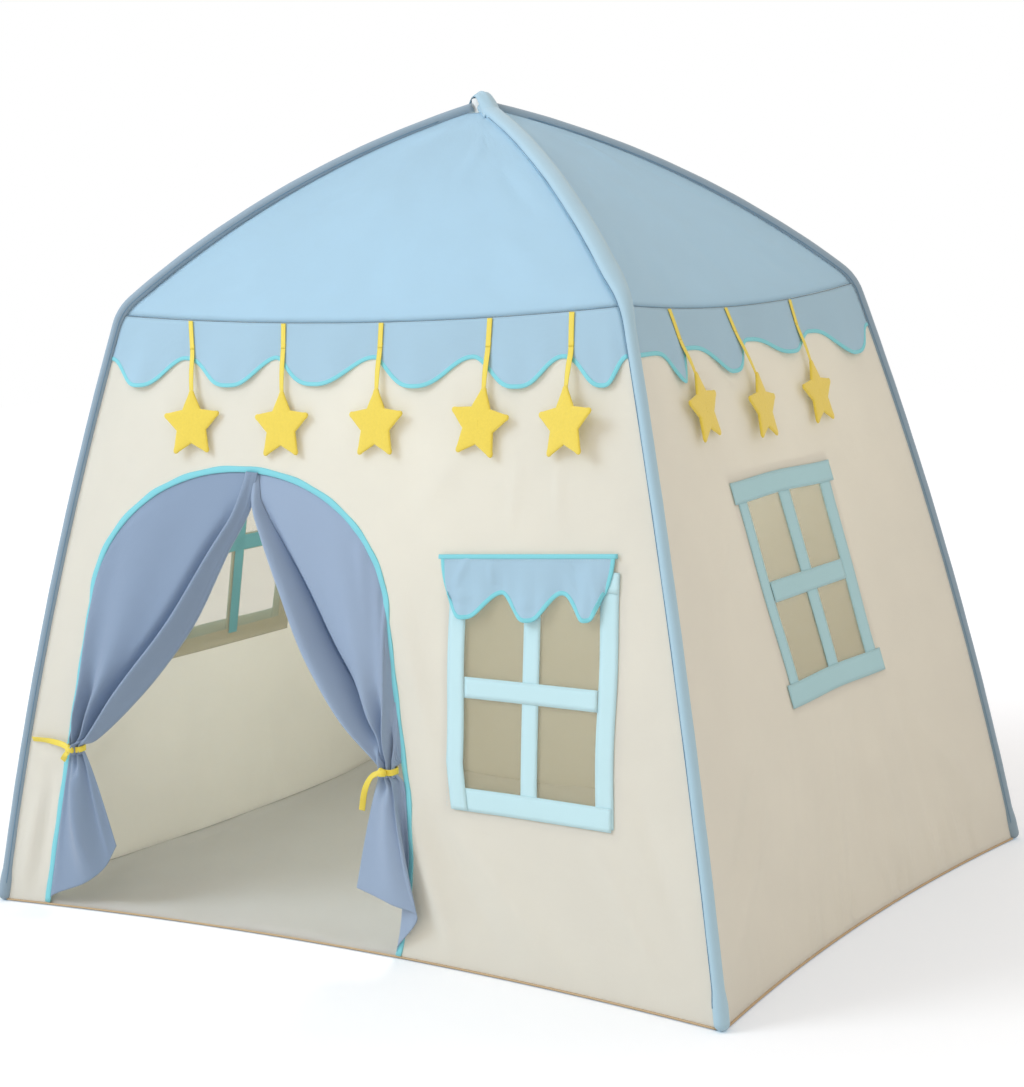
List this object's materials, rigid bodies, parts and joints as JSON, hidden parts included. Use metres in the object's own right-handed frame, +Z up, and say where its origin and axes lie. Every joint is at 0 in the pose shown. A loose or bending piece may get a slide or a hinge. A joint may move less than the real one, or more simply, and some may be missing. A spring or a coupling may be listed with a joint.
{
  "type": "kids play tent",
  "caption": "House-shaped kids play tent on a bent pole frame, with an arched door, tied-back curtains, gauze windows, scalloped valances and hanging felt stars.",
  "frame": {"origin": "on the ground at the centre of the base", "axes": "+X along the front, to the right for someone facing the door; +Y from the front to the back; +Z up"},
  "size_m": [1.3162, 1.017, 1.239],
  "materials": {
    "pole": "smooth coated steel tube",
    "plastic": "moulded white fitting",
    "sleeve": "blue woven polyester binding",
    "canvas": "cream cotton-like canvas",
    "roof": "light blue woven cloth",
    "floor": "cream coated cloth",
    "mesh": "fine beige gauze",
    "strip": "light cyan woven strips",
    "binding": "cyan bias binding",
    "curtain": "soft periwinkle cloth",
    "ribbon": "lemon satin ribbon",
    "felt": "golden felt"
  },
  "bodies": {
    "frame_and_cover": {"leg_lower_pole_front_left": "pole", "leg_upper_pole_front_left": "pole", "eave_elbow_front_left": "plastic", "roof_pole_front_left": "pole", "corner_sleeve_front_left": "sleeve", "leg_lower_pole_front_right": "pole", "leg_upper_pole_front_right": "pole", "eave_elbow_front_right": "plastic", "roof_pole_front_right": "pole", "corner_sleeve_front_right": "sleeve", "leg_lower_pole_back_right": "pole", "leg_upper_pole_back_right": "pole", "eave_elbow_back_right": "plastic", "roof_pole_back_right": "pole", "corner_sleeve_back_right": "sleeve", "leg_lower_pole_back_left": "pole", "leg_upper_pole_back_left": "pole", "eave_elbow_back_left": "plastic", "roof_pole_back_left": "pole", "corner_sleeve_back_left": "sleeve", "crown_hub": "plastic", "crown_cover": "sleeve", "floor_sheet": "floor", "front_wall": "canvas", "front_roof_panel": "roof", "right_wall": "canvas", "right_roof_panel": "roof", "left_wall": "canvas", "left_roof_panel": "roof", "back_wall": "canvas", "back_roof_panel": "roof", "front_window_frame": "strip", "front_window_mesh": "mesh", "right_window_frame": "strip", "right_window_mesh": "mesh", "left_window_frame": "strip", "left_window_mesh": "mesh", "door_binding": "binding", "left_curtain": "curtain", "left_curtain_tie": "ribbon", "right_curtain": "curtain", "right_curtain_tie": "ribbon"},
    "front_valance": {"front_valance": "roof"},
    "back_valance": {"back_valance": "roof"},
    "right_valance": {"right_valance": "roof"},
    "left_valance": {"left_valance": "roof"},
    "front_window_valance": {"front_window_valance": "roof"},
    "left_curtain_tail": {"left_curtain_tail": "curtain"},
    "right_curtain_tail": {"right_curtain_tail": "curtain"},
    "front_star_1": {"front_star_1": "felt"},
    "front_star_2": {"front_star_2": "felt"},
    "front_star_3": {"front_star_3": "felt"},
    "front_star_4": {"front_star_4": "felt"},
    "front_star_5": {"front_star_5": "felt"},
    "right_star_1": {"right_star_1": "felt"},
    "right_star_2": {"right_star_2": "felt"},
    "right_star_3": {"right_star_3": "felt"},
    "left_star_1": {"left_star_1": "felt"},
    "left_star_2": {"left_star_2": "felt"},
    "left_star_3": {"left_star_3": "felt"}
  },
  "joints": [
    {"name": "front_valance_lift", "type": "hinge", "parent": "frame_and_cover", "child": "front_valance", "pos_m": [0, -0.35122, 0.918], "axis": [-1, 0, 0], "range_deg": [0, 70]},
    {"name": "back_valance_lift", "type": "hinge", "parent": "frame_and_cover", "child": "back_valance", "pos_m": [0, 0.35122, 0.918], "axis": [1, 0, 0], "range_deg": [0, 70]},
    {"name": "right_valance_lift", "type": "hinge", "parent": "frame_and_cover", "child": "right_valance", "pos_m": [0.4561, 0, 0.918], "axis": [0, -1, 0], "range_deg": [0, 70]},
    {"name": "left_valance_lift", "type": "hinge", "parent": "frame_and_cover", "child": "left_valance", "pos_m": [-0.4561, 0, 0.918], "axis": [0, 1, 0], "range_deg": [0, 70]},
    {"name": "front_star_1_swing", "type": "hinge", "parent": "front_valance", "child": "front_star_1", "pos_m": [-0.30428, -0.35254, 0.9082], "axis": [-1, 0, 0], "range_deg": [0, 60]},
    {"name": "front_star_2_swing", "type": "hinge", "parent": "front_valance", "child": "front_star_2", "pos_m": [-0.13488, -0.35177, 0.90224], "axis": [-1, 0, 0], "range_deg": [0, 60]},
    {"name": "front_star_3_swing", "type": "hinge", "parent": "front_valance", "child": "front_star_3", "pos_m": [0.0405, -0.35155, 0.90093], "axis": [-1, 0, 0], "range_deg": [0, 60]},
    {"name": "front_star_4_swing", "type": "hinge", "parent": "front_valance", "child": "front_star_4", "pos_m": [0.20652, -0.35202, 0.90419], "axis": [-1, 0, 0], "range_deg": [0, 60]},
    {"name": "front_star_5_swing", "type": "hinge", "parent": "front_valance", "child": "front_star_5", "pos_m": [0.34819, -0.3528, 0.91053], "axis": [-1, 0, 0], "range_deg": [0, 60]},
    {"name": "right_star_1_swing", "type": "hinge", "parent": "right_valance", "child": "right_star_1", "pos_m": [0.45671, -0.21219, 0.90695], "axis": [0, -1, 0], "range_deg": [0, 60]},
    {"name": "right_star_2_swing", "type": "hinge", "parent": "right_valance", "child": "right_star_2", "pos_m": [0.45507, -0.03095, 0.90093], "axis": [0, -1, 0], "range_deg": [0, 60]},
    {"name": "right_star_3_swing", "type": "hinge", "parent": "right_valance", "child": "right_star_3", "pos_m": [0.45601, 0.1578, 0.90419], "axis": [0, -1, 0], "range_deg": [0, 60]},
    {"name": "left_star_1_swing", "type": "hinge", "parent": "left_valance", "child": "left_star_1", "pos_m": [-0.45671, -0.21219, 0.90695], "axis": [0, 1, 0], "range_deg": [0, 60]},
    {"name": "left_star_2_swing", "type": "hinge", "parent": "left_valance", "child": "left_star_2", "pos_m": [-0.45507, -0.03095, 0.90093], "axis": [0, 1, 0], "range_deg": [0, 60]},
    {"name": "left_star_3_swing", "type": "hinge", "parent": "left_valance", "child": "left_star_3", "pos_m": [-0.45601, 0.1578, 0.90419], "axis": [0, 1, 0], "range_deg": [0, 60]},
    {"name": "front_window_valance_lift", "type": "hinge", "parent": "frame_and_cover", "child": "front_window_valance", "pos_m": [0.477, -0.41613, 0.588], "axis": [-1, 0, 0], "range_deg": [0, 110]},
    {"name": "left_curtain_tail_swing", "type": "hinge", "parent": "frame_and_cover", "child": "left_curtain_tail", "pos_m": [-0.55905, -0.48742, 0.01], "axis": [0.1713, 0.109, 0.9792], "range_deg": [0, 60]},
    {"name": "right_curtain_tail_swing", "type": "hinge", "parent": "frame_and_cover", "child": "right_curtain_tail", "pos_m": [0.09756, -0.45487, 0.01], "axis": [0.0793, 0.0455, 0.9958], "range_deg": [-60, 0]}
  ]
}
